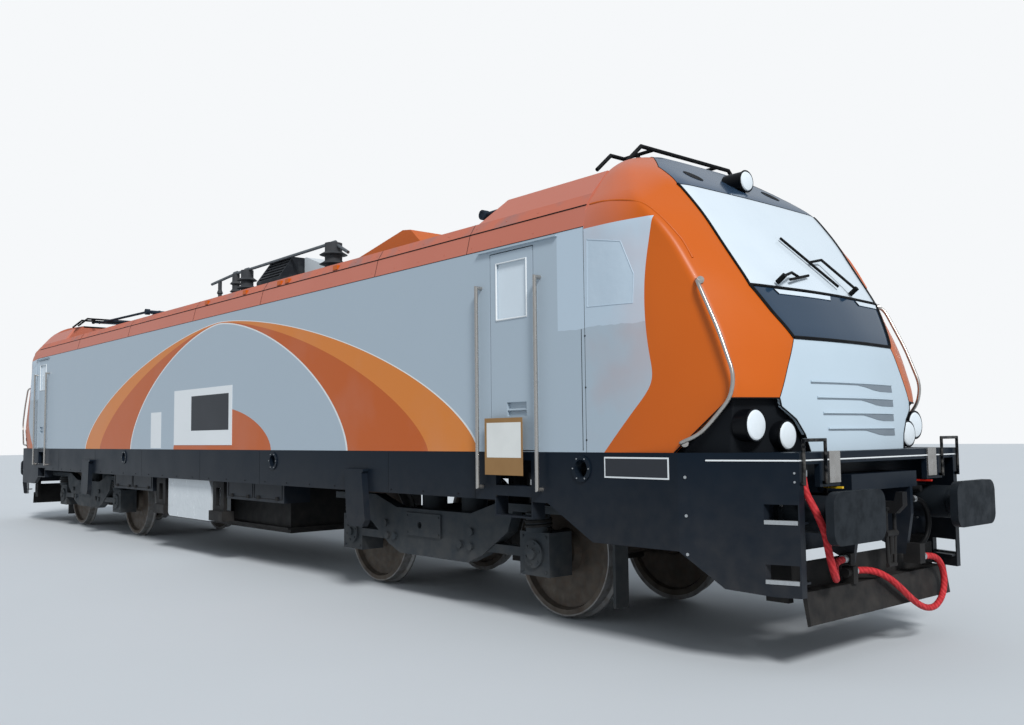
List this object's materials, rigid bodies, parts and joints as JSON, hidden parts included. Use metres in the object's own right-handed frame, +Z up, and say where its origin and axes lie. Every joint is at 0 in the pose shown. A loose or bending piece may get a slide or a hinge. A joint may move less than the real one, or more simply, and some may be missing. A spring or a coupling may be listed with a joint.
{
  "type": "electric locomotive",
  "caption": "Mainline electric locomotive on two bogies, with a sloping cab at each end, inward side doors, roof pantographs, buffers and hook couplings.",
  "frame": {"origin": "centre of the vehicle at the height of the wheel flanges' lowest points, 30 mm below the rail top", "axes": "+X towards the front cab, +Y to the left of a driver facing +X, +Z up"},
  "size_m": [19.52, 3.014, 4.1478],
  "materials": {
    "cab_paint": "gloss",
    "silver_paint": "gloss",
    "black_gloss": "gloss",
    "roof_cap_paint": "gloss",
    "glazing": "clear",
    "lamp_glass": "clear",
    "roof_paint": "satin",
    "underframe_paint": "gloss",
    "interior_plastic": "matte",
    "seat_cloth": "woven",
    "machine_steel": "satin",
    "buffer_steel": "worn",
    "dark_steel": "satin",
    "rail_steel": "brushed",
    "insulator": "gloss",
    "copper_bar": "satin",
    "panto_steel": "satin",
    "bogie_paint": "satin",
    "wrap_film": "wrapped",
    "wheel_steel": "rusty",
    "hose_rubber": "wrapped"
  },
  "bodies": {
    "body": {"air_hose": "hose_rubber", "brake_hose_left": "hose_rubber", "brake_hose_right": "hose_rubber", "brake_resistor": "dark_steel", "buffers": "buffer_steel", "cab_bulkheads": "interior_plastic", "cab_shell_front": "cab_paint", "cab_shell_rear": "cab_paint", "cab_windows": "glazing", "cant_panels": "cab_paint", "couplers": "dark_steel", "driver_desks": "interior_plastic", "driver_seats": "seat_cloth", "front_masks": "black_gloss", "handrails": "rail_steel", "headlights": "lamp_glass", "hose_couplings": "hose_rubber", "lifting_stirrups": "underframe_paint", "machine_room_block": "machine_steel", "nose_panels": "silver_paint", "pantograph_bases": "panto_steel", "ploughs": "underframe_paint", "roof_busbars": "copper_bar", "roof_caps": "roof_cap_paint", "roof_cowls": "cab_paint", "roof_deck": "roof_paint", "roof_insulators": "insulator", "roof_wedge_covers": "cab_paint", "side_wall_left": "silver_paint", "side_wall_right": "silver_paint", "transformer_tank": "underframe_paint", "underfloor_boxes": "underframe_paint", "underframe": "underframe_paint", "wipers": "dark_steel", "wrapped_cases": "wrap_film"},
    "bogie_front": {"bogie_frame_front": "bogie_paint", "suspension_front": "bogie_paint", "traction_motors_front": "dark_steel"},
    "bogie_rear": {"bogie_frame_rear": "bogie_paint", "suspension_rear": "bogie_paint", "traction_motors_rear": "dark_steel"},
    "cab_door_front_left": {"door_front_left": "silver_paint", "door_glass_front_left": "glazing"},
    "cab_door_front_right": {"door_front_right": "silver_paint", "door_glass_front_right": "glazing"},
    "cab_door_rear_left": {"door_glass_rear_left": "glazing", "door_rear_left": "silver_paint"},
    "cab_door_rear_right": {"door_glass_rear_right": "glazing", "door_rear_right": "silver_paint"},
    "pantograph_head_front": {"pantograph_head_front": "panto_steel"},
    "pantograph_head_rear": {"pantograph_head_rear": "panto_steel"},
    "pantograph_lower_arm_front": {"pantograph_lower_arm_front": "panto_steel"},
    "pantograph_lower_arm_rear": {"pantograph_lower_arm_rear": "panto_steel"},
    "pantograph_upper_arm_front": {"pantograph_upper_arm_front": "panto_steel"},
    "pantograph_upper_arm_rear": {"pantograph_upper_arm_rear": "panto_steel"},
    "wheelset_1": {"wheelset_1": "wheel_steel"},
    "wheelset_2": {"wheelset_2": "wheel_steel"},
    "wheelset_3": {"wheelset_3": "wheel_steel"},
    "wheelset_4": {"wheelset_4": "wheel_steel"}
  },
  "joints": [
    {"name": "cab_door_front_right_hinge", "type": "hinge", "parent": "body", "child": "cab_door_front_right", "pos_m": [6.585, -1.358, 2.33], "axis": [0, 0, 1], "range_deg": [0, 85]},
    {"name": "cab_door_rear_left_hinge", "type": "hinge", "parent": "body", "child": "cab_door_rear_left", "pos_m": [-6.585, 1.358, 2.33], "axis": [0, 0, 1], "range_deg": [0, 85]},
    {"name": "cab_door_front_left_hinge", "type": "hinge", "parent": "body", "child": "cab_door_front_left", "pos_m": [7.05, 1.358, 2.33], "axis": [0, 0, -1], "range_deg": [0, 85]},
    {"name": "cab_door_rear_right_hinge", "type": "hinge", "parent": "body", "child": "cab_door_rear_right", "pos_m": [-7.05, -1.358, 2.33], "axis": [0, 0, -1], "range_deg": [0, 85]},
    {"name": "bogie_front_yaw", "type": "hinge", "parent": "body", "child": "bogie_front", "pos_m": [5.32, 0, 1.03], "axis": [0, 0, 1], "range_deg": [-3, 3]},
    {"name": "bogie_rear_yaw", "type": "hinge", "parent": "body", "child": "bogie_rear", "pos_m": [-5.32, 0, 1.03], "axis": [0, 0, 1], "range_deg": [-3, 3]},
    {"name": "wheelset_1_spin", "type": "hinge", "parent": "bogie_front", "child": "wheelset_1", "pos_m": [6.82, 0, 0.605], "axis": [0, 1, 0], "continuous": true},
    {"name": "wheelset_2_spin", "type": "hinge", "parent": "bogie_front", "child": "wheelset_2", "pos_m": [3.82, 0, 0.605], "axis": [0, 1, 0], "continuous": true},
    {"name": "wheelset_3_spin", "type": "hinge", "parent": "bogie_rear", "child": "wheelset_3", "pos_m": [-3.82, 0, 0.605], "axis": [0, 1, 0], "continuous": true},
    {"name": "wheelset_4_spin", "type": "hinge", "parent": "bogie_rear", "child": "wheelset_4", "pos_m": [-6.82, 0, 0.605], "axis": [0, 1, 0], "continuous": true},
    {"name": "pantograph_front_rise", "type": "hinge", "parent": "body", "child": "pantograph_lower_arm_front", "pos_m": [7, 0, 3.79], "axis": [0, 1, 0], "range_deg": [0, 45]},
    {"name": "pantograph_front_knee", "type": "hinge", "parent": "pantograph_lower_arm_front", "child": "pantograph_upper_arm_front", "pos_m": [5.05, 0, 4.06], "axis": [0, -1, 0], "range_deg": [0, 90]},
    {"name": "pantograph_front_head_pivot", "type": "hinge", "parent": "pantograph_upper_arm_front", "child": "pantograph_head_front", "pos_m": [7.5, 0, 4.08], "axis": [0, 1, 0], "range_deg": [0, 45]},
    {"name": "pantograph_rear_rise", "type": "hinge", "parent": "body", "child": "pantograph_lower_arm_rear", "pos_m": [-7, 0, 3.79], "axis": [0, -1, 0], "range_deg": [0, 45]},
    {"name": "pantograph_rear_knee", "type": "hinge", "parent": "pantograph_lower_arm_rear", "child": "pantograph_upper_arm_rear", "pos_m": [-5.05, 0, 4.06], "axis": [0, 1, 0], "range_deg": [0, 90]},
    {"name": "pantograph_rear_head_pivot", "type": "hinge", "parent": "pantograph_upper_arm_rear", "child": "pantograph_head_rear", "pos_m": [-7.5, 0, 4.08], "axis": [0, -1, 0], "range_deg": [0, 45]}
  ],
  "couplings": [
    {"joint": "pantograph_front_knee", "follows": "pantograph_front_rise", "ratio": 2},
    {"joint": "pantograph_front_head_pivot", "follows": "pantograph_front_rise", "ratio": 1},
    {"joint": "pantograph_rear_knee", "follows": "pantograph_rear_rise", "ratio": 2},
    {"joint": "pantograph_rear_head_pivot", "follows": "pantograph_rear_rise", "ratio": 1}
  ]
}
